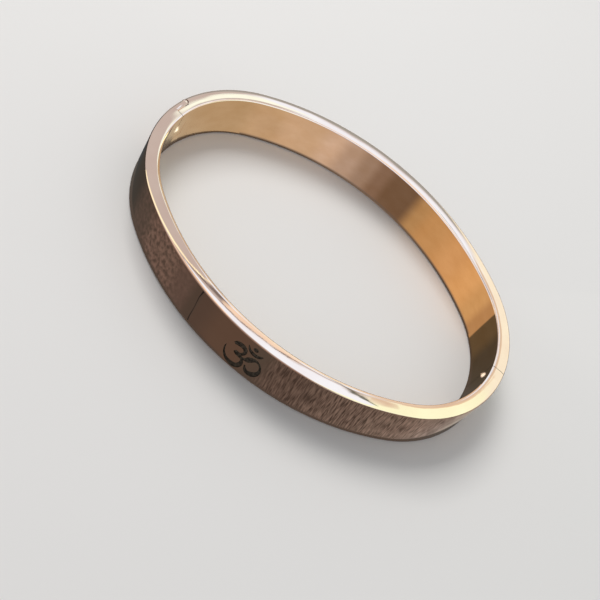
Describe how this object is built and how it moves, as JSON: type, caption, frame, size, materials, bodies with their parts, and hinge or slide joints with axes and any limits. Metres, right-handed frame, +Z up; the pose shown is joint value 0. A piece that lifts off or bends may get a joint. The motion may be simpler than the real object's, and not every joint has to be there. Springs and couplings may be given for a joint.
{
  "type": "hinged oval bangle",
  "caption": "Flat-band oval bangle in two hinged halves, with a hidden clasp and a small etched sign, lying on its lower rim.",
  "frame": {"origin": "middle of the oval, on the plane of the lower rim that the bangle lies on", "axes": "+Z up, along the bangle's own axis; +X towards the clasp, -X towards the hinge; -Y towards the half that bears the sign"},
  "size_m": [0.0624, 0.046, 0.008],
  "materials": {
    "rose_gold": "mirror-polished rose gold colour on steel, satin on the inner face",
    "steel": "satin"
  },
  "bodies": {
    "front": {"front_half": "rose_gold"},
    "back": {"back_half": "rose_gold", "hinge_pin": "steel", "clasp_tongue": "steel"}
  },
  "joints": [
    {"name": "hinge", "type": "hinge", "parent": "front", "child": "back", "pos_m": [-0.03057, 0.00259, 0.004], "axis": [0, 0, 1], "range_deg": [0, 60]}
  ]
}
